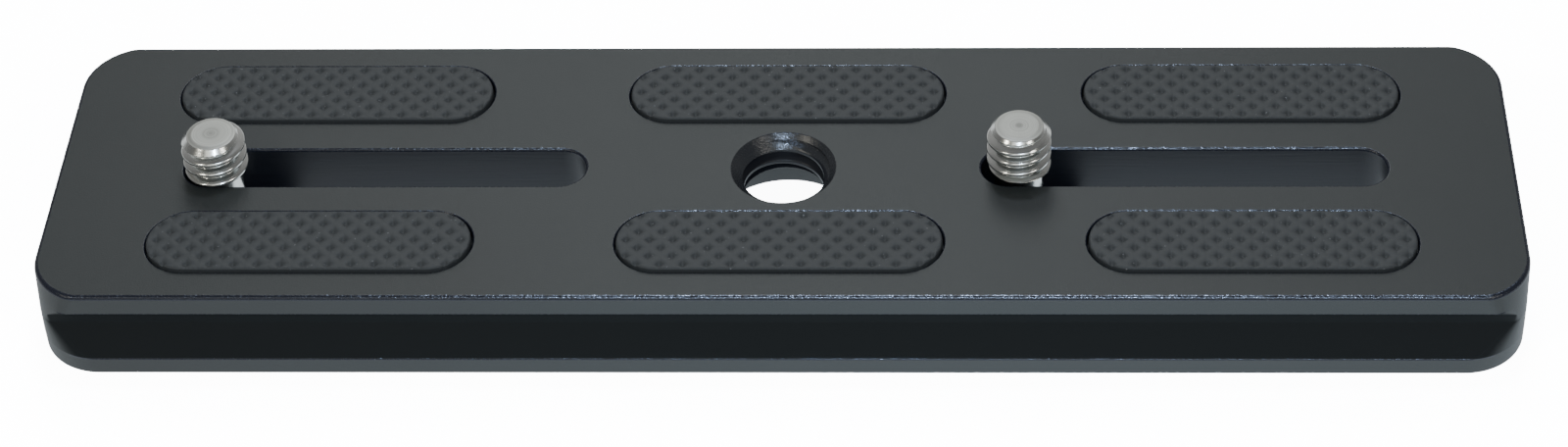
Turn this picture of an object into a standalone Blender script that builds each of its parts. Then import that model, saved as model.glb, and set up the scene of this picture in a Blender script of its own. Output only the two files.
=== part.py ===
"""Long dovetail quick release plate with two captive camera screws, modelled in metres, +Z up.

The origin is at the centre of the foot's lower face. +X runs along the plate and +Y to its back.
"""

from math import cos, pi, sin, tau

import bmesh
import bpy

# Plate: one machined length of aluminium, a flange over a dovetail foot.
PLATE_LENGTH = 0.1400
PLATE_HEIGHT = 0.0086
FLANGE_WIDTH = 0.0360
FLANGE_HEIGHT = 0.00215
FOOT_OVERHANG = 0.001375
FOOT_LIP_HEIGHT = 0.0019
GROOVE_DEPTH = 0.0025
CORNER_RADIUS = 0.0060
CORNER_LEAN_START = 0.0035
CORNER_PROUD = 0.0002
EDGE_BREAK = 0.0003

# Slots: a narrow one for the neck of each camera screw, and a wide channel under it for the head.
SLOT_WIDTH = 0.0052
SLOT_LENGTH = 0.0388
SLOT_END_MARGIN = 0.0122
SLOT_EDGE_BREAK = 0.0002
WEB_THICKNESS = 0.0050
HEAD_CLEARANCE = 0.0005

# Centre hole: a tapped hole for a larger camera screw, countersunk above and counterbored below.
BORE_DIAMETER = 0.0079
COUNTERSINK_DEPTH = 0.0011
TAPPED_THICKNESS = 0.0040
COUNTERBORE_DIAMETER = 0.0149

# Pads: six moulded rubber strips, each in its own pocket in the camera face.
PAD_LENGTH = 0.0301
PAD_END_MARGIN = 0.0106
PAD_SIDE_MARGIN = 0.00367
PAD_HOLE_MARGIN = 0.00178
PAD_GAP = 0.00034
PAD_PROUD = 0.00045
POCKET_DEPTH = 0.0012
LATTICE_DIAGONAL = 0.00208
LATTICE_DEPTH = 0.0003

# Camera screws: turned stainless steel, with a neck that is thinner than the thread.
THREAD_DIAMETER = 0.00618
THREAD_LENGTH = 0.00415
THREAD_RUNOUT = 0.0004
TIP_DIAMETER = 0.0036
TIP_CHAMFER = 0.0010
NECK_CLEARANCE = 0.00028
HEAD_DIAMETER = 0.0126
HEAD_HEIGHT = 0.0015
HEAD_CHAMFER = 0.0003
HEX_SIZE = 0.0040
HEX_DEPTH = 0.0010
COIN_SLOT_WIDTH = 0.0016
COIN_SLOT_DEPTH = 0.0007
LEFT_SCREW_FROM_OUTER_END = 0.00055
RIGHT_SCREW_FROM_INNER_END = 0.00098
LEFT_SCREW_LIFT = 0.0
RIGHT_SCREW_LIFT = 0.00087

# Washers: a thin plastic ring between each screw's head and the web of its slot.
WASHER_DIAMETER = 0.0118
WASHER_BORE = 0.0066
WASHER_THICKNESS = 0.0004

# A running or seating gap between separate pieces.
GAP = 0.0003

# How far a cutter runs past the face that it cuts through.
CUT_OVERRUN = 0.0020

# Points closer than this count as one.
SAME_POINT = 1e-7

# How finely the round forms are faceted.
CORNER_STEPS = 10
END_STEPS = 14
ROUND_STEPS = 48
HEX_SIDES = 6

FOOT_WIDTH = FLANGE_WIDTH + 2 * FOOT_OVERHANG
FLANGE_BOTTOM = PLATE_HEIGHT - FLANGE_HEIGHT
NECK_DIAMETER = SLOT_WIDTH - 2 * NECK_CLEARANCE
CHANNEL_DIAMETER = HEAD_DIAMETER + 2 * HEAD_CLEARANCE
CHANNEL_TOP = PLATE_HEIGHT - WEB_THICKNESS
SLOT_CENTRE = PLATE_LENGTH / 2 - SLOT_END_MARGIN - SLOT_LENGTH / 2
SCREW_TRAVEL = SLOT_LENGTH - SLOT_WIDTH
LEFT_SCREW_X = LEFT_SCREW_FROM_OUTER_END - SLOT_CENTRE - SCREW_TRAVEL / 2
RIGHT_SCREW_X = RIGHT_SCREW_FROM_INNER_END + SLOT_CENTRE - SCREW_TRAVEL / 2
COUNTERSINK_DIAMETER = BORE_DIAMETER + 2 * COUNTERSINK_DEPTH
PAD_INNER_EDGE = COUNTERSINK_DIAMETER / 2 + PAD_HOLE_MARGIN
PAD_OUTER_EDGE = FLANGE_WIDTH / 2 - PAD_SIDE_MARGIN
PAD_WIDTH = PAD_OUTER_EDGE - PAD_INNER_EDGE
PAD_ROW_OFFSET = (PAD_OUTER_EDGE + PAD_INNER_EDGE) / 2
PAD_COLUMN_SPACING = PLATE_LENGTH / 2 - PAD_END_MARGIN - PAD_LENGTH / 2


def clear_scene():
    for old in list(bpy.data.objects):
        bpy.data.objects.remove(old, do_unlink=True)


def finish(name, colour, roughness, metallic):
    material = bpy.data.materials.new(name)
    material.use_nodes = True
    shader = material.node_tree.nodes["Principled BSDF"]
    shader.inputs["Base Color"].default_value = (*colour, 1.0)
    shader.inputs["Roughness"].default_value = roughness
    shader.inputs["Metallic"].default_value = metallic
    return material


def arc(centre_x, centre_y, radius, start, steps, sweep=pi / 2):
    """Points of an arc that starts at an angle and turns anticlockwise through a sweep."""
    points = []
    for step in range(steps + 1):
        angle = start + sweep * step / steps
        points.append((centre_x + radius * cos(angle), centre_y + radius * sin(angle)))
    return points


def rounded_rectangle(length, width, radius):
    x = length / 2 - radius
    y = width / 2 - radius
    outline = arc(x, y, radius, 0, CORNER_STEPS)
    outline += arc(-x, y, radius, pi / 2, CORNER_STEPS)
    outline += arc(-x, -y, radius, pi, CORNER_STEPS)
    outline += arc(x, -y, radius, 3 * pi / 2, CORNER_STEPS)
    return outline


def stadium(length, width):
    """A slot's outline: two half circles joined by straight sides along X."""
    radius = width / 2
    x = length / 2 - radius
    return arc(x, 0, radius, -pi / 2, END_STEPS, pi) + arc(-x, 0, radius, pi / 2, END_STEPS, pi)


def circle(diameter, steps=ROUND_STEPS):
    return arc(0, 0, diameter / 2, 0, steps, tau)[:-1]


def loft(name, rings):
    """A closed solid through outlines of equal length, each given with its height, from the bottom up."""
    mesh = bpy.data.meshes.new(name)
    shape = bmesh.new()
    loops = [[shape.verts.new((x, y, z)) for x, y in outline] for outline, z in rings]
    count = len(loops[0])
    shape.faces.new(list(reversed(loops[0])))
    shape.faces.new(loops[-1])
    for lower, upper in zip(loops, loops[1:]):
        for i in range(count):
            j = (i + 1) % count
            shape.faces.new((lower[i], lower[j], upper[j], upper[i]))
    shape.to_mesh(mesh)
    shape.free()
    return mesh


def turned(name, profile):
    """A closed solid of revolution from (diameter, height) pairs, from the bottom up."""
    return loft(name, [(circle(diameter), z) for diameter, z in profile])


def add(name, mesh, place=(0, 0, 0)):
    piece = bpy.data.objects.new(name, mesh)
    piece.location = place
    bpy.context.scene.collection.objects.link(piece)
    return piece


def add_cutter(name, mesh, place=(0, 0, 0)):
    cutter = add(name, mesh, place)
    cutter.hide_render = True
    cutter.display_type = "WIRE"
    return cutter


def combine(piece, other, operation):
    boolean = piece.modifiers.new(other.name, "BOOLEAN")
    boolean.operation = operation
    boolean.solver = "EXACT"
    boolean.object = other


def smooth_round_faces(mesh, sharp_angle=pi / 6):
    mesh.shade_smooth()
    mesh.set_sharp_from_angle(angle=sharp_angle)


def body_mesh():
    """The milled blank. Its rounded corners lean in from the foot's outline almost to the flange's."""
    full = rounded_rectangle(PLATE_LENGTH, FOOT_WIDTH, CORNER_RADIUS)
    foot = rounded_rectangle(
        PLATE_LENGTH - 2 * EDGE_BREAK, FOOT_WIDTH - 2 * EDGE_BREAK, CORNER_RADIUS - EDGE_BREAK
    )
    top_width = FLANGE_WIDTH + 2 * CORNER_PROUD
    flange = rounded_rectangle(PLATE_LENGTH, top_width, CORNER_RADIUS)
    top = rounded_rectangle(
        PLATE_LENGTH - 2 * EDGE_BREAK, top_width - 2 * EDGE_BREAK, CORNER_RADIUS - EDGE_BREAK
    )
    return loft("body", [
        (foot, 0),
        (full, EDGE_BREAK),
        (full, CORNER_LEAN_START),
        (flange, PLATE_HEIGHT - EDGE_BREAK),
        (top, PLATE_HEIGHT),
    ])


def groove_mesh():
    """The front side's cut: the groove's 45 degree ramp, flat root and undercut, then the flange's side."""
    root_y = -(FOOT_WIDTH / 2 - GROOVE_DEPTH)
    ramp_top = FOOT_LIP_HEIGHT + GROOVE_DEPTH
    side_y = -FLANGE_WIDTH / 2
    root_top = FLANGE_BOTTOM - (root_y - side_y)
    reach = GROOVE_DEPTH + CUT_OVERRUN
    section = [
        (root_y, ramp_top),
        (root_y, root_top),
        (side_y, FLANGE_BOTTOM),
        (side_y, PLATE_HEIGHT - EDGE_BREAK),
        (side_y + EDGE_BREAK + CUT_OVERRUN, PLATE_HEIGHT + CUT_OVERRUN),
        (root_y - reach, PLATE_HEIGHT + CUT_OVERRUN),
        (root_y - reach, ramp_top - reach),
    ]
    mesh = bpy.data.meshes.new("groove")
    shape = bmesh.new()
    ends = []
    for x in (-PLATE_LENGTH, PLATE_LENGTH):
        ends.append([shape.verts.new((x, y, z)) for y, z in section])
    shape.faces.new(ends[0])
    shape.faces.new(list(reversed(ends[1])))
    for i in range(len(section)):
        j = (i + 1) % len(section)
        shape.faces.new((ends[0][j], ends[0][i], ends[1][i], ends[1][j]))
    bmesh.ops.recalc_face_normals(shape, faces=shape.faces)
    shape.to_mesh(mesh)
    shape.free()
    return mesh


def slot_mesh():
    narrow = stadium(SLOT_LENGTH, SLOT_WIDTH)
    flare = 2 * SLOT_EDGE_BREAK
    wide = stadium(SLOT_LENGTH + 2 * flare, SLOT_WIDTH + 2 * flare)
    return loft("slot", [
        (narrow, CHANNEL_TOP - CUT_OVERRUN),
        (narrow, PLATE_HEIGHT - SLOT_EDGE_BREAK),
        (wide, PLATE_HEIGHT + SLOT_EDGE_BREAK),
    ])


def channel_mesh():
    """The head channel, whose round ends share their centres with the ends of the slot."""
    outline = stadium(SCREW_TRAVEL + CHANNEL_DIAMETER, CHANNEL_DIAMETER)
    return loft("channel", [(outline, -CUT_OVERRUN), (outline, CHANNEL_TOP)])


def centre_hole_mesh():
    tapped_bottom = PLATE_HEIGHT - TAPPED_THICKNESS
    return turned("centre_hole", [
        (COUNTERBORE_DIAMETER, -CUT_OVERRUN),
        (COUNTERBORE_DIAMETER, tapped_bottom),
        (BORE_DIAMETER, tapped_bottom),
        (BORE_DIAMETER, PLATE_HEIGHT - COUNTERSINK_DEPTH),
        (COUNTERSINK_DIAMETER + 2 * CUT_OVERRUN, PLATE_HEIGHT + CUT_OVERRUN),
    ])


def pocket_mesh():
    outline = stadium(PAD_LENGTH + 2 * PAD_GAP, PAD_WIDTH + 2 * PAD_GAP)
    return loft("pocket", [(outline, PLATE_HEIGHT - POCKET_DEPTH), (outline, PLATE_HEIGHT + CUT_OVERRUN)])


def pad_places():
    for row, side in (("back", 1), ("front", -1)):
        for column, step in (("left", -1), ("middle", 0), ("right", 1)):
            yield f"{row}_{column}", (step * PAD_COLUMN_SPACING, side * PAD_ROW_OFFSET, 0)


def make_plate():
    """Cuts the sides, slots, channels, centre hole and pad pockets into the blank."""
    plate = add("plate", body_mesh())
    plate.data.materials.append(finish("black_anodised_aluminium", (0.035, 0.037, 0.038), 0.45, 0.6))
    front = add_cutter("cut_side_front", groove_mesh())
    back = add_cutter("cut_side_back", groove_mesh())
    back.rotation_euler = (0, 0, pi)
    combine(plate, front, "DIFFERENCE")
    combine(plate, back, "DIFFERENCE")
    for side, x in (("left", -SLOT_CENTRE), ("right", SLOT_CENTRE)):
        combine(plate, add_cutter(f"cut_channel_{side}", channel_mesh(), (x, 0, 0)), "DIFFERENCE")
        combine(plate, add_cutter(f"cut_slot_{side}", slot_mesh(), (x, 0, 0)), "DIFFERENCE")
    combine(plate, add_cutter("cut_centre_hole", centre_hole_mesh()), "DIFFERENCE")
    for where, place in pad_places():
        combine(plate, add_cutter(f"cut_pocket_{where}", pocket_mesh(), place), "DIFFERENCE")
    smooth_round_faces(plate.data)


def lattice_sheet(shape):
    """The pad's moulded face: ridges that cross at 45 degrees, with a four-sided pit between them.

    The points lie on a square grid of half a diagonal. Even ones are ridge crossings and odd ones pits.
    """
    step = LATTICE_DIAGONAL / 2
    across = int(PAD_LENGTH / 2 / step) + 2
    along = int(PAD_WIDTH / 2 / step) + 2
    crest = PLATE_HEIGHT + PAD_PROUD
    points = {}
    for m in range(-across, across + 1):
        for n in range(-along, along + 1):
            z = crest if (m + n) % 2 == 0 else crest - LATTICE_DEPTH
            points[m, n] = shape.verts.new((m * step, n * step, z))
    for m in range(-across, across):
        for n in range(-along, along):
            a, b = points[m, n], points[m + 1, n]
            c, d = points[m + 1, n + 1], points[m, n + 1]
            if (m + n) % 2 == 0:
                shape.faces.new((a, b, c))
                shape.faces.new((a, c, d))
            else:
                shape.faces.new((a, b, d))
                shape.faces.new((b, c, d))


def trim_to_outline(shape, outline):
    """Cuts a sheet back to a convex outline, one straight edge at a time."""
    for (x0, y0), (x1, y1) in zip(outline, outline[1:] + outline[:1]):
        everything = shape.verts[:] + shape.edges[:] + shape.faces[:]
        bmesh.ops.bisect_plane(
            shape, geom=everything, dist=SAME_POINT,
            plane_co=(x0, y0, 0), plane_no=(y1 - y0, x0 - x1, 0), clear_outer=True,
        )


def pad_mesh():
    shape = bmesh.new()
    lattice_sheet(shape)
    trim_to_outline(shape, stadium(PAD_LENGTH, PAD_WIDTH))
    rim = [edge for edge in shape.edges if edge.is_boundary]
    sides = bmesh.ops.extrude_edge_only(shape, edges=rim)
    base = [item for item in sides["geom"] if isinstance(item, bmesh.types.BMVert)]
    for vertex in base:
        vertex.co.z = PLATE_HEIGHT - POCKET_DEPTH + GAP
    floor = [edge for edge in shape.edges if edge.is_boundary]
    bmesh.ops.contextual_create(shape, geom=floor)
    bmesh.ops.recalc_face_normals(shape, faces=shape.faces)
    mesh = bpy.data.meshes.new("pad")
    shape.to_mesh(mesh)
    shape.free()
    return mesh


def make_pads():
    mesh = pad_mesh()
    mesh.materials.append(finish("black_rubber", (0.022, 0.024, 0.025), 0.7, 0.0))
    for where, place in pad_places():
        add(f"pad_{where}", mesh, place)


def screw_mesh():
    """A screw about its own axis, with the thread's lower end a gap above the plate when it has dropped."""
    thread_bottom = PLATE_HEIGHT + GAP
    tip = thread_bottom + THREAD_LENGTH
    bearing = head_top()
    return turned("camera_screw", [
        (HEAD_DIAMETER - 2 * HEAD_CHAMFER, bearing - HEAD_HEIGHT),
        (HEAD_DIAMETER, bearing - HEAD_HEIGHT + HEAD_CHAMFER),
        (HEAD_DIAMETER, bearing - HEAD_CHAMFER),
        (HEAD_DIAMETER - 2 * HEAD_CHAMFER, bearing),
        (NECK_DIAMETER, bearing),
        (NECK_DIAMETER, thread_bottom),
        (THREAD_DIAMETER, thread_bottom + THREAD_RUNOUT),
        (THREAD_DIAMETER, tip - TIP_CHAMFER),
        (TIP_DIAMETER, tip),
    ])


def head_top():
    """The head's bearing face on a dropped screw: the raised screw just clears its washer and the web."""
    highest = max(LEFT_SCREW_LIFT, RIGHT_SCREW_LIFT)
    return CHANNEL_TOP - GAP - WASHER_THICKNESS - GAP - highest


def hex_mesh():
    """The hexagon socket in the underside of the head."""
    bottom = head_top() - HEAD_HEIGHT
    across_corners = HEX_SIZE / cos(pi / HEX_SIDES)
    return loft("hex", [
        (circle(across_corners, HEX_SIDES), bottom - CUT_OVERRUN),
        (circle(across_corners, HEX_SIDES), bottom + HEX_DEPTH),
    ])


def coin_slot_mesh():
    """The straight slot across the underside of the head."""
    bottom = head_top() - HEAD_HEIGHT
    x = HEAD_DIAMETER
    y = COIN_SLOT_WIDTH / 2
    outline = [(x, y), (-x, y), (-x, -y), (x, -y)]
    return loft("coin_slot", [(outline, bottom - CUT_OVERRUN), (outline, bottom + COIN_SLOT_DEPTH)])


def make_screws():
    steel = finish("stainless_steel", (0.62, 0.60, 0.57), 0.28, 1.0)
    screws = (("left", LEFT_SCREW_X, LEFT_SCREW_LIFT), ("right", RIGHT_SCREW_X, RIGHT_SCREW_LIFT))
    for side, x, lift in screws:
        mesh = screw_mesh()
        mesh.materials.append(steel)
        screw = add(f"{side}_screw", mesh, (x, 0, lift))
        combine(screw, add_cutter(f"cut_hex_{side}", hex_mesh(), (x, 0, lift)), "DIFFERENCE")
        combine(screw, add_cutter(f"cut_coin_slot_{side}", coin_slot_mesh(), (x, 0, lift)), "DIFFERENCE")
        smooth_round_faces(mesh)


def washer_mesh():
    """A flat ring that lies a gap above the head of a dropped screw."""
    bottom = head_top() + GAP
    top = bottom + WASHER_THICKNESS
    mesh = bpy.data.meshes.new("washer")
    shape = bmesh.new()
    section = ((WASHER_DIAMETER, bottom), (WASHER_DIAMETER, top), (WASHER_BORE, top), (WASHER_BORE, bottom))
    rings = []
    for diameter, z in section:
        rings.append([shape.verts.new((x, y, z)) for x, y in circle(diameter)])
    for lower, upper in zip(rings, rings[1:] + rings[:1]):
        for i in range(ROUND_STEPS):
            j = (i + 1) % ROUND_STEPS
            shape.faces.new((lower[i], lower[j], upper[j], upper[i]))
    shape.to_mesh(mesh)
    shape.free()
    smooth_round_faces(mesh)
    return mesh


def make_washers():
    mesh = washer_mesh()
    mesh.materials.append(finish("black_acetal", (0.03, 0.03, 0.03), 0.5, 0.0))
    add("left_washer", mesh, (LEFT_SCREW_X, 0, LEFT_SCREW_LIFT))
    add("right_washer", mesh, (RIGHT_SCREW_X, 0, RIGHT_SCREW_LIFT))


clear_scene()
make_plate()
make_pads()
make_screws()
make_washers()
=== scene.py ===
"""Looks of a long dovetail quick release plate with rubber strips and two captive camera screws.

Metres, +Z up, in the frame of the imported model: the foot stands on z = 0, +X runs along the plate and +Y
to its back.
"""

from math import atan2, ceil, cos, pi, radians, sin, sqrt, tan, tau

import bmesh
import bpy
from mathutils import Matrix, Vector


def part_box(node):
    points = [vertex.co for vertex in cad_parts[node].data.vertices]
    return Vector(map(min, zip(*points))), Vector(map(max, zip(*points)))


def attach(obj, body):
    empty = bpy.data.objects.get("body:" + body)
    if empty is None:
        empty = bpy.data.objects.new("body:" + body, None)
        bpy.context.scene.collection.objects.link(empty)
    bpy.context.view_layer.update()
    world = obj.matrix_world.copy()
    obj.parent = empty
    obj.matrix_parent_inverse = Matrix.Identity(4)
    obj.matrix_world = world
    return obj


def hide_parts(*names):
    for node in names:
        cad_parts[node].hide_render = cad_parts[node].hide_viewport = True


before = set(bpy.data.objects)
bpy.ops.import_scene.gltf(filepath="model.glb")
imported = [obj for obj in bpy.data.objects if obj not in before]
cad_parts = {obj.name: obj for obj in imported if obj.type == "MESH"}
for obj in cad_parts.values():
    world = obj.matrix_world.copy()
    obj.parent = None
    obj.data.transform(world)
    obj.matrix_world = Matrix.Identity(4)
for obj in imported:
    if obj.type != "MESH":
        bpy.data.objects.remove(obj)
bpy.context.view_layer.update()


# The plate. One machined length of aluminium, a flange over a dovetail foot, bead blasted and then black
# anodised, with every edge broken to a small rounding.

half_length, foot_half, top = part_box("plate")[1]
foot_overhang = 0.001375
flange_half = foot_half - foot_overhang
flange_bottom = 0.00645
groove_depth = 0.0025
lip_height = 0.0019
corner_radius = 0.0060
corner_steps = 24
lean_start = 0.0035
corner_proud = 0.0002

top_easing = 0.00040
lip_easing = 0.00022
root_easing = 0.00022
undercut_easing = 0.00015
foot_easing = 0.00025
easing_steps = 6
top_steps = 8
groove_end = 0.0012
ledge_end = 0.00025
flange_end = 0.0025
end_easings = (
    (0, groove_end), (0.0046, groove_end), (0.0053, ledge_end), (0.0063, ledge_end),
    (0.0065, flange_end), (top, flange_end),
)
spare_easing = 0.0001
same_reach = 0.00002

# Each face of the plate holds the number of its finish. A face that turns further than this towards an end
# belongs to a corner, and a corner is blasted.
blasted_face = 0
broken_edge = 1
milled_wall = 2
dull_groove = 3
groove_turned = 0.9
side_turned = 0.45


def rounded_path(corners, steps=easing_steps):
    """Points (across, height, on a rounding) through (across, height, easing radius) corners."""
    path = []
    for index, (across, height, easing) in enumerate(corners):
        here = Vector((across, height))
        if not easing:
            path.append((across, height, False))
            continue
        before = (Vector(corners[index - 1][:2]) - here).normalized()
        after = (Vector(corners[index + 1][:2]) - here).normalized()
        half_angle = before.angle(after) / 2
        centre = here + (before + after).normalized() * easing / sin(half_angle)
        start = here + before * easing / tan(half_angle) - centre
        end = here + after * easing / tan(half_angle) - centre
        first = atan2(start.y, start.x)
        turn = (atan2(end.y, end.x) - first + pi) % tau - pi
        for step in range(steps + 1):
            angle = first + turn * step / steps
            point = centre + easing * Vector((cos(angle), sin(angle)))
            path.append((point.x, point.y, step > 0))
    return path


def end_easing(height):
    """The radius that rounds each end of a groove or side into its corner."""
    for (low, first), (high, last) in zip(end_easings, end_easings[1:]):
        if height <= high:
            return first + (last - first) * (height - low) / (high - low)
    return end_easings[-1][1]


def plate_outline(height, inset, reach):
    """The plate's outline at one height: a rounded rectangle, cut off square at a reach from its middle.

    Its corners lean in above the foot, from the foot's outline almost to the flange's. Points stand at
    equal steps of the way that the outline faces, so that all heights match.
    """
    lean = max(0, (height - lean_start) / (top - lean_start))
    half_width = foot_half + (flange_half + corner_proud - foot_half) * lean
    radius = corner_radius - inset
    centre_x = half_length - corner_radius
    centre_y = half_width - corner_radius
    side = min(reach, half_width) - inset
    easing = end_easing(height) - min(inset, spare_easing)
    eased_y = side - easing
    eased_x = centre_x + sqrt(max((radius - easing) ** 2 - (eased_y - centre_y) ** 2, 0))
    meeting = atan2(eased_y - centre_y, eased_x - centre_x)
    quarter = []
    for step in range(corner_steps + 1):
        facing = pi / 2 * step / corner_steps
        if facing > meeting:
            quarter.append((eased_x + easing * cos(facing), eased_y + easing * sin(facing)))
        else:
            quarter.append((centre_x + radius * cos(facing), centre_y + radius * sin(facing)))
    ring = quarter + [(-x, y) for x, y in reversed(quarter)]
    return ring + [(-x, -y) for x, y in quarter] + [(x, -y) for x, y in reversed(quarter)]


def add_loops(shape, rings):
    return [[shape.verts.new(point) for point in ring] for ring in rings]


def add_band(shape, lower, upper, finish=0):
    """The faces between two loops that match point for point."""
    for i in range(len(lower)):
        j = (i + 1) % len(lower)
        shape.faces.new((lower[i], lower[j], upper[j], upper[i])).material_index = finish


def plain_mesh(name, shape):
    mesh = bpy.data.meshes.new(name)
    shape.to_mesh(mesh)
    shape.free()
    return mesh


def loft(name, rings, bands=None):
    """A closed solid through rings of (x, y, z) points, from the bottom up, with each step's finish."""
    shape = bmesh.new()
    loops = add_loops(shape, rings)
    shape.faces.new(list(reversed(loops[0])))
    shape.faces.new(loops[-1])
    for lower, upper, finish in zip(loops, loops[1:], bands or [0] * len(loops)):
        add_band(shape, lower, upper, finish)
    return plain_mesh(name, shape)


def show(name, mesh):
    piece = bpy.data.objects.new(name, mesh)
    bpy.context.scene.collection.objects.link(piece)
    return piece


def settle(piece):
    """Makes what a piece's modifiers give its own plain mesh."""
    shapes = bpy.context.evaluated_depsgraph_get()
    plain = bpy.data.meshes.new_from_object(piece.evaluated_get(shapes))
    piece.modifiers.clear()
    piece.data = plain


def shade(piece, sharp_angle):
    """Smooth shading that leaves large flat faces flat."""
    piece.data.shade_smooth()
    piece.data.set_sharp_from_angle(angle=sharp_angle)
    even = piece.modifiers.new("even_normals", "WEIGHTED_NORMAL")
    even.keep_sharp = True
    settle(piece)


def plate_levels():
    """(height, inset, reach, finish) of each outline, from the underside to the camera face."""
    root = foot_half - groove_depth
    groove = rounded_path([
        (foot_half, foot_easing, 0),
        (foot_half, lip_height, lip_easing),
        (root, lip_height + groove_depth, root_easing),
        (root, flange_bottom - (flange_half - root), root_easing),
        (flange_half, flange_bottom, undercut_easing),
        (flange_half, top - top_easing, 0),
    ])
    levels = []
    for step in range(easing_steps):
        angle = pi / 2 * step / easing_steps
        inset = foot_easing * (1 - sin(angle))
        levels.append((foot_easing * (1 - cos(angle)), inset, foot_half, broken_edge))
    for reach, height, rounding in groove:
        finish = broken_edge if rounding else blasted_face
        if reach < flange_half - same_reach:
            finish = dull_groove
        levels.append((height, 0, reach, finish))
    for step in range(1, top_steps + 1):
        angle = pi / 2 * step / top_steps
        inset = top_easing * (1 - cos(angle))
        levels.append((top - top_easing * (1 - sin(angle)), inset, flange_half, broken_edge))
    return levels


levels = plate_levels()
rings = []
for height, inset, reach, finish in levels:
    rings.append([(x, y, height) for x, y in plate_outline(height, inset, reach)])
plate = show("machined_plate", loft("machined_plate", rings, [level[3] for level in levels[1:]]))
for face in plate.data.polygons:
    turned = groove_turned if face.material_index == dull_groove else side_turned
    if foot_easing < face.center.z < top - top_easing and abs(face.normal.x) > turned:
        face.material_index = blasted_face

# The slots and the strips' pockets, milled into the plate, each with its mouth eased where it meets a face.
# Under each slot a wider channel takes the screw's head.

exit_angle = radians(10)
exit_reach = 0.0008


def mouth(across, face, easing, way):
    """The last corners of a cutter that leaves a face, upwards (1) or downwards (-1), by a rounded edge."""
    lift = easing / tan((pi / 2 + exit_angle) / 2) * sin(exit_angle)
    return [
        (across, face - way * lift, easing),
        (across + exit_reach * cos(exit_angle), face + way * (exit_reach * sin(exit_angle) - lift), 0),
    ]


def stadium(half_travel, radius, arc_steps=32, straight_steps=1):
    """A slot's outline about the origin, anticlockwise, with equal steps along its straight sides."""
    ring = []
    for side in (1, -1):
        for step in range(arc_steps + 1):
            angle = pi * step / arc_steps - pi / 2
            ring.append((side * (half_travel + radius * cos(angle)), side * radius * sin(angle)))
        for step in range(1, straight_steps):
            ring.append((side * half_travel * (1 - 2 * step / straight_steps), side * radius))
    return ring


def slot_cutter(name, middle, half_travel, corners):
    """A solid whose outline is a slot at every height, from (radius, height, easing) corners."""
    path = rounded_path(corners)
    rings = []
    for radius, height, rounding in path:
        rings.append([(middle[0] + x, middle[1] + y, height) for x, y in stadium(half_travel, radius)])
    return show(name, loft(name, rings, [broken_edge if point[2] else milled_wall for point in path][1:]))


slot_radius = 0.0026
slot_travel = 0.0336 / 2
slot_middle = 0.0384
slot_easing = 0.00030
channel_radius = 0.0068
channel_top = 0.0036
channel_easing = 0.00030
pocket_radius = 0.00420
pocket_travel = 0.0226 / 2
pocket_floor = 0.0074
pocket_easing = 0.00020
pocket_shift = 0.00016
pad_low, pad_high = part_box("pad_back_right")
pad_column = (pad_low.x + pad_high.x) / 2
pad_row = (pad_low.y + pad_high.y) / 2

cutters = []
for side in (-1, 1):
    cutters.append(slot_cutter(
        "slot_cutter", (side * slot_middle, 0), slot_travel,
        mouth(channel_radius, 0, channel_easing, -1)[::-1]
        + [(channel_radius, channel_top, 0), (slot_radius, channel_top, 0)]
        + mouth(slot_radius, top, slot_easing, 1),
    ))
for side in (1, -1):
    for column in (-1, 0, 1):
        cutters.append(slot_cutter(
            "pocket_cutter", (column * pad_column, side * pad_row + pocket_shift), pocket_travel,
            [(pocket_radius, pocket_floor, 0)] + mouth(pocket_radius, top, pocket_easing, 1),
        ))

# The centre hole, drilled, countersunk, counterbored from below and tapped for a larger camera screw. The
# thread is a helical groove cut into the turned wall, and the same tree cuts the screws' threads.

bore_radius = 0.00386
tap_root_radius = 0.00462
tap_exit_radius = 0.00437
tap_pitch = 0.0015875
countersink_depth = 0.00119
countersink_easing = 0.00025
counterbore_radius = 0.00745
counterbore_top = 0.0046
tap_margin = 0.0001
round_steps = 144
thread_rows = 0.000025
same_height = 0.00001


class Wire:
    """A socket of a node tree that takes part in plain arithmetic. Each operation adds its Math node."""

    def __init__(self, graph, socket):
        self.graph = graph
        self.socket = socket

    def maths(self, operation, *others):
        return self.graph.add("ShaderNodeMath", {"operation": operation}, dict(enumerate((self, *others))))

    def __add__(self, other):
        return self.maths("ADD", other)

    def __sub__(self, other):
        return self.maths("SUBTRACT", other)

    def __mul__(self, other):
        return self.maths("MULTIPLY", other)

    def __truediv__(self, other):
        return self.maths("DIVIDE", other)

    def __pow__(self, other):
        return self.maths("POWER", other)

    def __gt__(self, other):
        return self.maths("GREATER_THAN", other)

    def __lt__(self, other):
        return self.maths("LESS_THAN", other)

    def __abs__(self):
        return self.maths("ABSOLUTE")

    def __radd__(self, other):
        return self + other

    def __rsub__(self, other):
        return self * -1 + other

    def __rmul__(self, other):
        return self * other

    def lesser(self, other):
        return self.maths("MINIMUM", other)

    def greater(self, other):
        return self.maths("MAXIMUM", other)

    def limited(self):
        """Held between 0 and 1."""
        return self.greater(0).lesser(1)

    def parts(self):
        """The x, y and z of a vector."""
        split = self.graph.node("ShaderNodeSeparateXYZ", {}, {0: self})
        return [Wire(self.graph, output) for output in split.outputs]


class Graph:
    """The nodes of one shader or geometry tree."""

    def __init__(self, tree):
        self.tree = tree

    def node(self, kind, settings=None, sockets=None):
        """Any node, from its type, its settings, and the values or links of its sockets."""
        node = self.tree.nodes.new(kind)
        for name, value in (settings or {}).items():
            setattr(node, name, value)
        for name, value in (sockets or {}).items():
            self.join(value, node.inputs[name])
        return node

    def add(self, kind, settings=None, sockets=None, output=0):
        return Wire(self, self.node(kind, settings, sockets).outputs[output])

    def join(self, value, socket):
        if isinstance(value, Wire):
            self.tree.links.new(value.socket, socket)
        else:
            socket.default_value = value


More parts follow.
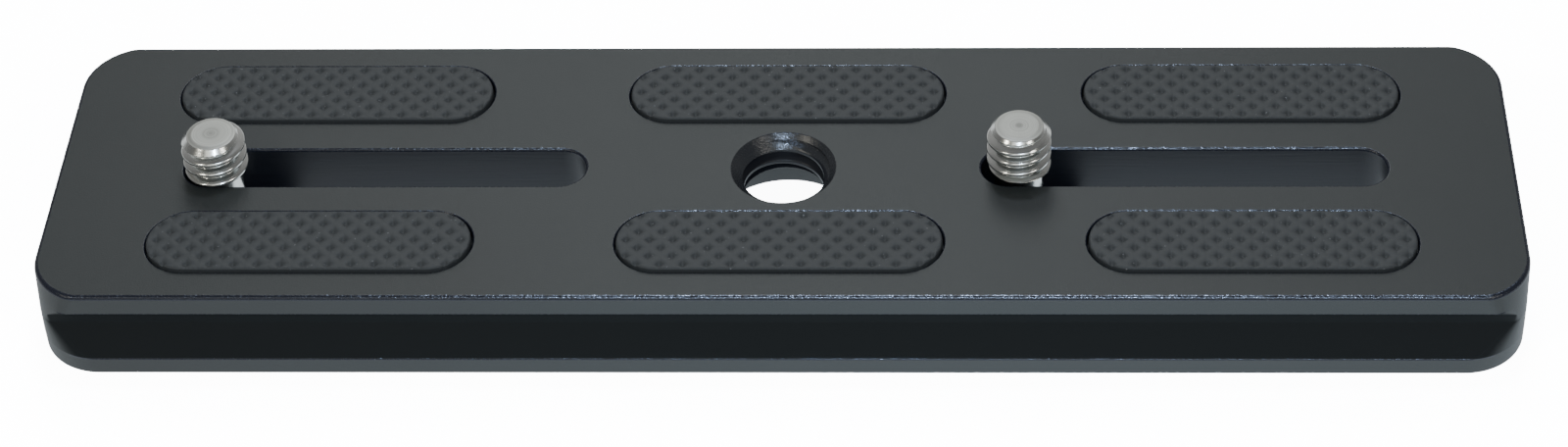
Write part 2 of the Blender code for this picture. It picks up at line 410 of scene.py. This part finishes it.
def new_tree(name, inputs):
    """A geometry tree with named inputs, its graph, and its inputs as wires by name."""
    tree = bpy.data.node_groups.new(name, "GeometryNodeTree")
    for label, kind in inputs:
        tree.interface.new_socket(label, in_out="INPUT", socket_type=kind)
    tree.interface.new_socket("Result", in_out="OUTPUT", socket_type="NodeSocketGeometry")
    graph = Graph(tree)
    inlet = graph.node("NodeGroupInput")
    return tree, graph, {label: Wire(graph, inlet.outputs[label]) for label, kind in inputs}


def end_tree(graph, shape, finish, selection=True):
    """Closes a geometry tree: real geometry in the given finish."""
    real = graph.add("GeometryNodeRealizeInstances", {}, {0: shape})
    dressed = graph.add(
        "GeometryNodeSetMaterial", {}, {"Geometry": real, "Selection": selection, "Material": finish}
    )
    graph.node("NodeGroupOutput", {}, {0: dressed})


def thread_tree():
    """Cuts a helical groove into a band of a turned body's wall, outwards (1) or inwards (-1)."""
    tree, graph, given = new_tree("thread", (
        ("Body", "NodeSocketGeometry"), ("Axis X", "NodeSocketFloat"),
        ("Pitch", "NodeSocketFloat"), ("Phase", "NodeSocketFloat"),
        ("Crest Radius", "NodeSocketFloat"), ("Root Radius", "NodeSocketFloat"),
        ("Crest Flat", "NodeSocketFloat"), ("Root Flat", "NodeSocketFloat"),
        ("Rounding", "NodeSocketFloat"), ("Run In", "NodeSocketFloat"),
        ("From Height", "NodeSocketFloat"), ("To Height", "NodeSocketFloat"),
        ("Way", "NodeSocketFloat"), ("Finish", "NodeSocketMaterial"),
    ))
    x, y, z = graph.add("GeometryNodeInputPosition").parts()
    x = x - given["Axis X"]
    radius = (x * x + y * y) ** 0.5
    turn = y.maths("ARCTAN2", x) * (1 / tau)
    phase = (z / given["Pitch"] - turn + given["Phase"]).maths("FRACT")
    from_crest = abs(phase * 2 - 1) - given["Crest Flat"]
    flank = (from_crest / (1 - given["Crest Flat"] - given["Root Flat"])).limited()
    rounded = flank.lesser(given["Rounding"])
    groove = rounded * rounded / (given["Rounding"] * 2) + flank - rounded
    groove = groove / (1 - given["Rounding"] * 0.5)
    inside = (z > given["From Height"]) * (z < given["To Height"])
    run_in = ((z - given["From Height"]) / given["Run In"]).limited()
    run_out = ((given["To Height"] - z) / given["Run In"]).limited()
    depth = groove * run_in * run_out
    thread = given["Crest Radius"] + (given["Root Radius"] - given["Crest Radius"]) * depth
    way = given["Way"]
    cut = way * (way * radius).greater(way * thread)
    scale = 1 + (cut / radius - 1) * inside
    place = graph.add("ShaderNodeCombineXYZ", {}, {0: given["Axis X"] + x * scale, 1: y * scale, 2: z})
    shape = graph.add("GeometryNodeSetPosition", {}, {"Geometry": given["Body"], "Position": place})
    end_tree(graph, shape, given["Finish"], inside)
    return tree


def grow(piece, name, tree, values):
    """Runs a geometry tree on a piece, with its inputs given by name, and keeps the result."""
    modifier = piece.modifiers.new(name, "NODES")
    modifier.node_group = tree
    for item in tree.interface.items_tree:
        if item.in_out == "INPUT" and item.name in values:
            modifier[item.identifier] = values[item.name]
    settle(piece)


def turned_rings(path, axis_x=0.0, fine_from=0.0, fine_to=0.0):
    """Circles about a vertical axis along a path, closer together in a band that takes a thread."""
    rings = []
    bands = []
    for index, (radius, height, rounding) in enumerate(path):
        pieces = 1
        if index:
            before, low = path[index - 1][:2]
            if fine_from <= min(low, height) and max(low, height) <= fine_to:
                pieces = max(1, ceil((height - low) / thread_rows))
        for piece in range(pieces):
            share = (piece + 1) / pieces if index else 1
            r = radius if share == 1 else before + (radius - before) * share
            z = height if share == 1 else low + (height - low) * share
            ring = []
            for step in range(round_steps):
                angle = tau * step / round_steps
                ring.append((axis_x + r * cos(angle), r * sin(angle), z))
            rings.append(ring)
            bands.append(broken_edge if rounding else milled_wall)
    return rings, bands[1:]


def blank_finish(name):
    finish = bpy.data.materials.new(name)
    finish.use_nodes = True
    finish.node_tree.nodes.clear()
    return finish


finishes = [blank_finish(name) for name in (
    "blasted_anodised", "broken_edge_anodised", "milled_anodised", "groove_anodised",
)]
thread = thread_tree()
countersink_radius = bore_radius + countersink_depth
hole_path = rounded_path(
    mouth(counterbore_radius, 0, channel_easing, -1)[::-1]
    + [(counterbore_radius, counterbore_top, 0), (tap_exit_radius, counterbore_top, 0)]
    + [(bore_radius, counterbore_top + tap_exit_radius - bore_radius, 0)]
    + [(bore_radius, top - countersink_depth, 0), (countersink_radius, top, countersink_easing)]
    + [(countersink_radius + exit_reach, top + exit_reach * sin(exit_angle), 0)]
)
cone_low = top - countersink_depth + same_height
hole_rings, hole_bands = turned_rings(hole_path, 0, counterbore_top, top)
hole = show("hole_cutter", loft("hole_cutter", hole_rings, hole_bands))
for finish in finishes:
    hole.data.materials.append(finish)
    plate.data.materials.append(finish)
grow(hole, "tap", thread, {
    "Axis X": 0.0, "Pitch": tap_pitch, "Phase": 0.10, "Crest Radius": bore_radius,
    "Root Radius": tap_root_radius, "Crest Flat": 0.14, "Root Flat": 0.15, "Rounding": 0.3,
    "From Height": counterbore_top + tap_margin, "To Height": top - 2 * tap_margin, "Run In": 0.0003,
    "Way": 1.0, "Finish": finishes[milled_wall],
})
cone_finish = hole.data.materials.find(finishes[broken_edge].name)
wall_finish = hole.data.materials.find(finishes[blasted_face].name)
for face in hole.data.polygons:
    if face.center.z > cone_low:
        face.material_index = cone_finish
    elif channel_easing < face.center.z < counterbore_top:
        face.material_index = wall_finish
cutters.append(hole)


def cut_away(piece, cutters):
    for cutter in cutters:
        boolean = piece.modifiers.new("cut", "BOOLEAN")
        boolean.operation = "DIFFERENCE"
        boolean.solver = "EXACT"
        boolean.object = cutter
    settle(piece)
    for cutter in cutters:
        bpy.data.objects.remove(cutter)


cut_away(plate, cutters)
shade(plate, radians(40))


def finish_graph(finish):
    """A finish's graph, its Principled shader, wired to the output, and the place on the piece."""
    graph = Graph(finish.node_tree)
    shader = graph.node("ShaderNodeBsdfPrincipled")
    graph.node("ShaderNodeOutputMaterial", {}, {"Surface": Wire(graph, shader.outputs[0])})
    place = graph.add("ShaderNodeTexCoord", output="Object")
    return graph, shader, place


def noise(graph, place, scale, detail=2.0, rough=0.5):
    return graph.add("ShaderNodeTexNoise", {}, {
        "Vector": place, "Scale": scale, "Detail": detail, "Roughness": rough,
    })


def blend(graph, share, first, second):
    """A colour between two colours."""
    return graph.add("ShaderNodeMix", {"data_type": "RGBA"}, {0: share, 6: first, 7: second}, output=2)


def bump(graph, height, distance):
    return graph.add("ShaderNodeBump", {}, {"Height": height, "Distance": distance, "Strength": 1.0})


grain_scale = 7000.0
grain_depth = 0.000012
cloud_scale = 90.0
blasted_dark = (0.019, 0.0225, 0.023, 1)
blasted_light = (0.025, 0.029, 0.0295, 1)


def blast(graph, shader, place):
    """Gives a shader the fine even grain of blasted and anodised metal."""
    grain = noise(graph, place, grain_scale, 3.0, 0.6)
    cloud = noise(graph, place, cloud_scale, 3.0)
    graph.join(blend(graph, cloud, blasted_dark, blasted_light), shader.inputs["Base Color"])
    graph.join(0.40 + grain * 0.16, shader.inputs["Roughness"])
    graph.join(bump(graph, grain, grain_depth), shader.inputs["Normal"])


blast(*finish_graph(finishes[blasted_face]))

# A broken edge shows bare metal in specks, partly wear and partly painted highlight: the specks stand in
# for glints, so they are only on the long edges and the countersink's far side that face up and to the
# front, and thin out towards the plate's left end. The edges that face the back have none.

glint_scale = 5200.0
glint_depth = 0.00003
crown_low = 0.56
crown_gain = 6
side_fade = 5
front_side = -0.05
glint_thinning_from = -0.020
glint_thinning_to = -0.045
cone_reach = countersink_radius + 0.0005
# The skin of a broken edge is darker and bluer than the faces: painted shade for the dark band along the
# roundings.
edge_shade_dark = (0.007, 0.009, 0.016, 1)
edge_shade_light = (0.016, 0.019, 0.032, 1)
cone_skin = (0.026, 0.028, 0.032, 1)
bare_metal_and_glint = (0.31, 0.37, 0.49, 1)

graph, shader, place = finish_graph(finishes[broken_edge])
glint = noise(graph, place, glint_scale, 2.0, 0.7)
x, y, z = graph.add("ShaderNodeNewGeometry", output="Normal").parts()
glint_crown = ((z - crown_low) * crown_gain).limited() * (1 - abs(x) * side_fade).limited() * (y < front_side)
along, across = place.parts()[:2]
glint_thinning = ((along - glint_thinning_from) / (glint_thinning_to - glint_thinning_from)).limited()
cone = (along * along + across * across) ** 0.5 < cone_reach
# Painted highlight mixed with wear: metal specks only where an edge faces up and to the front.
wear_and_glint = (glint * 6 - 2.8 - glint_thinning * 0.9).limited() * glint_crown
# The edge skin's darker bluish tone is painted shade; the countersink keeps a lighter skin.
skin = blend(graph, cone, blend(graph, glint, edge_shade_dark, edge_shade_light), cone_skin)
graph.join(blend(graph, wear_and_glint, skin, bare_metal_and_glint), shader.inputs["Base Color"])
graph.join(wear_and_glint, shader.inputs["Metallic"])
graph.join(0.34 - glint * 0.16, shader.inputs["Roughness"])
graph.join(bump(graph, glint, glint_depth), shader.inputs["Normal"])

# A milled wall keeps the cutter's lines, drawn out along the wall.

line_scale = (150.0, 150.0, 6000.0)
line_depth = 0.000012
milled_dark = (0.006, 0.007, 0.011, 1)
milled_light = (0.012, 0.014, 0.020, 1)

graph, shader, place = finish_graph(finishes[milled_wall])
drawn_out = graph.add("ShaderNodeMapping", {}, {"Vector": place, "Scale": line_scale})
lines = noise(graph, drawn_out, 1.0, 3.0, 0.6)
graph.join(blend(graph, lines, milled_dark, milled_light), shader.inputs["Base Color"])
graph.join(0.32 + lines * 0.14, shader.inputs["Roughness"])
graph.join(0.36, shader.inputs["Specular IOR Level"])
graph.join(bump(graph, lines, line_depth), shader.inputs["Normal"])

# A groove is duller than the faces, and darker: painted shade under the flange's overhang. It fades into
# the blasted finish where it turns into a corner.

film_scale = 160.0
groove_shade_dark = (0.009, 0.011, 0.012, 1)
groove_shade_light = (0.013, 0.015, 0.016, 1)
fade_from = 0.25
fade_gain = 2.9

graph, shader, place = finish_graph(finishes[dull_groove])
film = noise(graph, place, film_scale, 3.0)
# The groove's darker colour is painted shade.
graph.join(blend(graph, film, groove_shade_dark, groove_shade_light), shader.inputs["Base Color"])
graph.join(0.62 + film * 0.12, shader.inputs["Roughness"])
graph.join(0.14, shader.inputs["Specular IOR Level"])
corner = graph.node("ShaderNodeBsdfPrincipled")
blast(graph, corner, place)
x, y, z = graph.add("ShaderNodeNewGeometry", output="Normal").parts()
faded = graph.add("ShaderNodeMixShader", {}, {
    0: ((abs(x) - fade_from) * fade_gain).limited(),
    1: Wire(graph, shader.outputs[0]),
    2: Wire(graph, corner.outputs[0]),
})
graph.join(faded, finishes[dull_groove].node_tree.nodes["Material Output"].inputs["Surface"])

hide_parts("plate")
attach(plate, "plate")


# The rubber strips. Six strips moulded in black rubber with a diamond lattice on the face: thin ridges
# cross at 45 degrees, with a soft pit between them. Each is stuck in its own pocket, a little proud.

pad_radius = 0.00398
pad_travel = 0.02272 / 2
pad_base = 0.00765
pad_crest = pad_high.z
pad_easing = 0.00022
pad_easing_steps = 4
pad_step = 0.00011
same_point = 1e-7
lattice_diagonal = 0.00221
lattice_depth = 0.00026
dish_share = 0.4
pit_share = 0.6
skin_scale = 9000.0
skin_depth = 0.00001
dust_scale = 5000.0
rubber_dark = (0.030, 0.034, 0.037, 1)
rubber_light = (0.041, 0.045, 0.048, 1)
dust_grey = (0.30, 0.31, 0.33, 1)


def lattice_tree():
    """Presses a diamond lattice down into the face of a sheet."""
    tree, graph, given = new_tree("lattice", (
        ("Strip", "NodeSocketGeometry"), ("Diagonal", "NodeSocketFloat"), ("Depth", "NodeSocketFloat"),
        ("Ridge Share", "NodeSocketFloat"), ("Pit Share", "NodeSocketFloat"), ("Crest", "NodeSocketFloat"),
        ("Finish", "NodeSocketMaterial"),
    ))
    x, y, z = graph.add("GeometryNodeInputPosition").parts()
    one = abs(((x + y) / given["Diagonal"]).maths("FRACT") * 2 - 1)
    other = abs(((x - y) / given["Diagonal"]).maths("FRACT") * 2 - 1)
    from_middle = one.greater(other)
    wall = (from_middle / (1 - given["Ridge Share"])).limited()
    dish = 1 - wall * wall * (3 - 2 * wall)
    wall = (from_middle / given["Pit Share"]).limited()
    pit = 1 - wall * wall * (3 - 2 * wall)
    height = given["Crest"] - given["Depth"] * (dish * dish_share + pit * pit_share)
    pressed = graph.add("ShaderNodeCombineXYZ", {}, {0: x, 1: y, 2: z.lesser(height)})
    shape = graph.add("GeometryNodeSetPosition", {}, {"Geometry": given["Strip"], "Position": pressed})
    end_tree(graph, shape, given["Finish"])
    return tree


def strip_mesh():
    """A strip about the origin, as rings that close in on the line along its middle, above and below."""
    path = [(0, pad_base, False)] + rounded_path([
        (pad_radius, pad_base, 0), (pad_radius, pad_crest, pad_easing), (0, pad_crest, 0),
    ], pad_easing_steps)[:-1]
    inner = path[-1][0]
    steps = ceil(inner / pad_step)
    path += [(inner * (1 - step / steps), pad_crest, False) for step in range(1, steps + 1)]
    arc_steps = ceil(pi * pad_radius / pad_step)
    straight_steps = ceil(2 * pad_travel / pad_step)
    rings = []
    for radius, height, rounding in path:
        rings.append([(x, y, height) for x, y in stadium(pad_travel, radius, arc_steps, straight_steps)])
    shape = bmesh.new()
    loops = add_loops(shape, rings)
    for lower, upper in zip(loops, loops[1:]):
        add_band(shape, lower, upper)
    bmesh.ops.remove_doubles(shape, verts=shape.verts, dist=same_point)
    bmesh.ops.recalc_face_normals(shape, faces=shape.faces)
    return plain_mesh("strip", shape)


rubber = blank_finish("moulded_rubber")
graph, shader, place = finish_graph(rubber)
skin = noise(graph, place, skin_scale, 2.0, 0.6)
dust = (noise(graph, place, dust_scale, 0.0) > 0.84) * 0.6
tone = blend(graph, skin, rubber_dark, rubber_light)
graph.join(blend(graph, dust, tone, dust_grey), shader.inputs["Base Color"])
graph.join(0.52 + skin * 0.1, shader.inputs["Roughness"])
graph.join(bump(graph, skin, skin_depth), shader.inputs["Normal"])

strip = show("strip", strip_mesh())
grow(strip, "lattice", lattice_tree(), {
    "Diagonal": lattice_diagonal, "Depth": lattice_depth, "Ridge Share": 0.10, "Pit Share": 0.46,
    "Crest": pad_crest, "Finish": rubber,
})
strip.data.shade_smooth()
strip.data.set_sharp_from_angle(angle=radians(60))
for row, side in (("back", 1), ("front", -1)):
    for column, place_along in (("left", -1), ("middle", 0), ("right", 1)):
        mesh = strip.data.copy()
        mesh.transform(Matrix.Translation((place_along * pad_column, side * pad_row, 0)))
        piece = show(f"rubber_strip_{row}_{column}", mesh)
        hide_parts(f"pad_{row}_{column}")
        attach(piece, "plate")
bpy.data.objects.remove(strip)


# The camera screws. Turned from stainless steel: a thread with a chamfered, faced tip, a neck thinner than
# the thread's root, and a flat head with a hexagon socket and a coin slot. They ride free in their slots.

screw_pitch = 0.00127
screw_crest_radius = 0.00309
screw_root_radius = 0.00244
screw_thread_length = 0.00497
screw_clearance = 0.00006
screw_margin = 0.0001
screw_neck_radius = 0.00232
screw_head_height = 0.0015
head_easing = 0.00030
run_out_height = 0.0003
tip_radius = 0.00185
dome_width = 0.00047
dome_height = 0.00012
tip_drop = 0.0010
tip_easing = 0.0001
dome_easing = 0.00008
face_easing = 0.00006
axis_gap = 0.001
hex_across = 0.0040
hex_radius = hex_across / 2 / cos(pi / 6)
hex_depth = 0.0010
coin_slot_half = 0.0008
coin_slot_depth = 0.0007
cut_overrun = 0.001

mark_scale = 9000.0
mark_depth = 0.000003
smear_scale = 900.0
flank_dark = (0.70, 0.71, 0.69, 1)
flank_light = (0.80, 0.81, 0.78, 1)
faced_light = (0.62, 0.62, 0.58, 1)
faced_dark = (0.28, 0.28, 0.26, 1)
centre_mark = 0.0011
level_face = 0.9


def screw_steel(name, axis_x):
    """Bright steel with fine turning marks that run round one screw's axis."""
    finish = blank_finish(name)
    graph, shader, place = finish_graph(finish)
    centred = graph.add("ShaderNodeMapping", {}, {"Vector": place, "Location": (-axis_x, 0, 0)})
    x, y, z = centred.parts()
    radius = (x * x + y * y) ** 0.5
    around = graph.add("ShaderNodeCombineXYZ", {}, {0: radius, 1: z, 2: 0.0})
    marks = noise(graph, around, mark_scale, 2.0, 0.6)
    smear = noise(graph, centred, smear_scale, 2.0)
    flank = blend(graph, smear, flank_dark, flank_light)
    ringed = (marks * 1.6 - 0.4 + (1 - radius / centre_mark).limited() * 0.5).limited()
    facet = blend(graph, ringed, faced_light, faced_dark)
    faced = abs(graph.add("ShaderNodeNewGeometry", output="Normal").parts()[2]) > level_face
    graph.join(blend(graph, faced, flank, facet), shader.inputs["Base Color"])
    graph.join(1.0, shader.inputs["Metallic"])
    graph.join(0.13 + marks * 0.10 + smear * 0.06 + faced * 0.35, shader.inputs["Roughness"])
    graph.join(bump(graph, marks, mark_depth), shader.inputs["Normal"])
    return finish


def prism(name, outline, low, high):
    return show(name, loft(name, [[(x, y, z) for x, y in outline] for z in (low, high)]))


def make_screw(side):
    low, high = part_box(f"{side}_screw")
    axis_x = (low.x + high.x) / 2
    head_radius = (high.x - low.x) / 2
    head_top = low.z + screw_head_height
    thread_low = max(high.z - screw_thread_length, top + screw_clearance)
    path = rounded_path([
        (axis_gap, low.z, 0), (head_radius, low.z, head_easing), (head_radius, head_top, head_easing),
        (screw_neck_radius, head_top, 0), (screw_neck_radius, thread_low, 0),
        (screw_crest_radius, thread_low + run_out_height, 0),
        (screw_crest_radius, high.z - tip_drop, tip_easing),
        (tip_radius + dome_width, high.z - dome_height, dome_easing),
        (tip_radius, high.z, face_easing), (axis_gap, high.z, 0),
    ])
    rings = turned_rings(path, axis_x, thread_low, high.z)[0]
    screw = show(f"camera_screw_{side}", loft(f"camera_screw_{side}", rings))
    finish = screw_steel(f"turned_steel_{side}", axis_x)
    screw.data.materials.append(finish)
    grow(screw, "thread", thread, {
        "Axis X": axis_x, "Pitch": screw_pitch, "Phase": 0.2, "Crest Radius": screw_crest_radius,
        "Root Radius": screw_root_radius, "Crest Flat": 0.04, "Root Flat": 0.22, "Rounding": 0.6,
        "From Height": thread_low + screw_margin, "To Height": high.z, "Run In": 0.0004,
        "Way": -1.0, "Finish": finish,
    })
    corners = [tau * corner / 6 for corner in range(6)]
    hexagon = [(axis_x + hex_radius * cos(angle), hex_radius * sin(angle)) for angle in corners]
    socket = prism("socket", hexagon, low.z - cut_overrun, low.z + hex_depth)
    reach = head_radius + cut_overrun
    slot = prism("coin_slot", [
        (axis_x + reach, coin_slot_half), (axis_x - reach, coin_slot_half),
        (axis_x - reach, -coin_slot_half), (axis_x + reach, -coin_slot_half),
    ], low.z - cut_overrun, low.z + coin_slot_depth)
    cut_away(screw, [socket, slot])
    shade(screw, radians(58))
    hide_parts(f"{side}_screw")
    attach(screw, f"{side}_screw")


make_screw("left")
make_screw("right")


# The washers. Thin rings stamped from black acetal, one round each screw's neck, which let the head slide
# along under the web.

washer_bore = 0.0033
washer_easing = 0.00008
washer_easing_steps = 3
mottle_scale = 2500.0
mottle_depth = 0.000008
acetal_dark = (0.02, 0.02, 0.021, 1)
acetal_light = (0.03, 0.03, 0.031, 1)

acetal = blank_finish("stamped_acetal")
graph, shader, place = finish_graph(acetal)
mottle = noise(graph, place, mottle_scale, 2.0)
graph.join(blend(graph, mottle, acetal_dark, acetal_light), shader.inputs["Base Color"])
graph.join(0.4 + mottle * 0.1, shader.inputs["Roughness"])
graph.join(bump(graph, mottle, mottle_depth), shader.inputs["Normal"])


def make_washer(side):
    low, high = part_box(f"{side}_washer")
    axis_x = (low.x + high.x) / 2
    outer = (high.x - low.x) / 2
    middle = (washer_bore + outer) / 2
    path = rounded_path([
        (middle, low.z, 0), (outer, low.z, washer_easing), (outer, high.z, washer_easing),
        (washer_bore, high.z, washer_easing), (washer_bore, low.z, washer_easing), (middle, low.z, 0),
    ], washer_easing_steps)[:-1]
    rings = turned_rings(path, axis_x)[0]
    shape = bmesh.new()
    loops = add_loops(shape, rings)
    for lower, upper in zip(loops, loops[1:] + loops[:1]):
        add_band(shape, lower, upper)
    washer = show(f"slide_washer_{side}", plain_mesh("washer", shape))
    washer.data.materials.append(acetal)
    shade(washer, radians(35))
    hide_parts(f"{side}_washer")
    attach(washer, f"{side}_washer")


make_washer("left")
make_washer("right")


# The stage. The floor looks plain white to the camera. The light that it gives to the plate is set apart
# from that, much dimmer, with a soft pool of cold light at the plate's front. A large panel behind and a
# card in front give the broad light, two small lamps at the sides and one above give the steel its streaks,
# and one beside the camera gives broken edges their glints.

floor_half = 2.5
floor_thickness = 0.02
white_glow = 10.0
white_shade = (7.0, 7.0, 7.0, 1)
pool_centre = (0.022, -0.035)
pool_fall = (60, 150)
dim_glow = 1.0
dim_colour = (0.94, 0.98, 1.0, 1)
pool_glow = 2.0
pool_colour = (0.78, 0.90, 1.0, 1)

floor = show("floor", loft("floor", [
    [(x * floor_half, y * floor_half, z) for x, y in ((1, 1), (-1, 1), (-1, -1), (1, -1))]
    for z in (-floor_thickness, 0.0)
]))
paper = blank_finish("white_paper")
graph = Graph(paper.node_tree)
clean = graph.add("ShaderNodeEmission", {}, {"Color": (1, 1, 1, 1), "Strength": white_glow})
shaded = graph.add("ShaderNodeBsdfDiffuse", {}, {"Color": white_shade})
seen = graph.add("ShaderNodeAddShader", {}, {0: clean, 1: shaded})
x, y, z = graph.add("ShaderNodeTexCoord", output="Object").parts()
x = x - pool_centre[0]
y = y - pool_centre[1]
from_pool = (x * x * pool_fall[0] + y * y * pool_fall[1]) ** 0.5
dim = graph.add("ShaderNodeEmission", {}, {"Color": dim_colour, "Strength": dim_glow})
pool = graph.add("ShaderNodeEmission", {}, {"Color": pool_colour, "Strength": pool_glow})
felt = graph.add("ShaderNodeMixShader", {}, {0: (1 - from_pool).limited(), 1: dim, 2: pool})
direct = graph.add("ShaderNodeLightPath", output="Is Camera Ray")
both = graph.add("ShaderNodeMixShader", {}, {0: direct, 1: felt, 2: seen})
graph.node("ShaderNodeOutputMaterial", {}, {"Surface": both})
floor.data.materials.append(paper)


def lamp(name, place, size, power, colour):
    """A rectangular area light, aimed at the middle of the foot. Its size is its width and height."""
    light = bpy.data.lights.new(name, "AREA")
    light.shape = "RECTANGLE"
    light.size, light.size_y = size
    light.energy = power
    light.color = colour
    holder = bpy.data.objects.new(name, light)
    holder.location = place
    holder.rotation_euler = (-Vector(place)).to_track_quat("-Z", "Y").to_euler()
    bpy.context.scene.collection.objects.link(holder)


lamp("back_panel", place=(-0.10, 1.15, 1.05), size=(0.5, 0.7), power=4.1, colour=(0.94, 1.0, 1.0))
lamp("left_lamp", place=(-0.42, -0.30, 0.42), size=(0.07, 0.07), power=0.7, colour=(1.0, 0.96, 0.84))
lamp("right_lamp", place=(0.42, -0.38, 0.42), size=(0.14, 0.14), power=0.6, colour=(1.0, 0.97, 0.90))
lamp("top_lamp", place=(0.02, 0.18, 0.50), size=(0.10, 0.05), power=0.5, colour=(0.84, 0.9, 1.0))
lamp("front_card", place=(-0.02, -0.52, 0.40), size=(0.50, 0.40), power=0.7, colour=(1.0, 0.99, 0.90))
lamp("camera_lamp", place=(0.024, -0.27, 0.27), size=(0.02, 0.02), power=0.36, colour=(0.62, 0.78, 1.0))

front_glow = 0.08
back_glow = 0.32

world = bpy.data.worlds.new("surroundings")
world.use_nodes = True
world.node_tree.nodes.clear()
bpy.context.scene.world = world
graph = Graph(world.node_tree)
x, y, z = graph.add("ShaderNodeTexCoord", output="Generated").parts()
toward_back = (y * 0.5 + 0.5).limited()
glow = front_glow + toward_back * toward_back * back_glow
background = graph.add("ShaderNodeBackground", {}, {"Color": (1, 1, 1, 1), "Strength": glow})
graph.node("ShaderNodeOutputWorld", {}, {"Surface": background})

# The camera, at the photograph's place. The photograph is cropped off centre, which the shift follows.

camera_place = (0.018719, -0.253095, 0.236631)
camera_yaw = radians(-2.258)
camera_pitch = radians(42.891)
camera_roll = radians(1.569)
photo_width = 1600
photo_height = 456
sensor_width = 36
focal_pixels = 3624.93
centre_pixel = (893.8, 227.08)

lens = bpy.data.cameras.new("camera")
lens.sensor_width = sensor_width
lens.lens = sensor_width * focal_pixels / photo_width
lens.shift_x = (photo_width / 2 - centre_pixel[0]) / photo_width
lens.shift_y = (centre_pixel[1] - photo_height / 2) / photo_width
camera = bpy.data.objects.new("camera", lens)
turn = (
    Matrix.Rotation(-camera_yaw, 4, "Z")
    @ Matrix.Rotation(pi / 2 - camera_pitch, 4, "X")
    @ Matrix.Rotation(-camera_roll, 4, "Z")
)
camera.matrix_world = Matrix.Translation(camera_place) @ turn
bpy.context.scene.collection.objects.link(camera)
bpy.context.scene.camera = camera
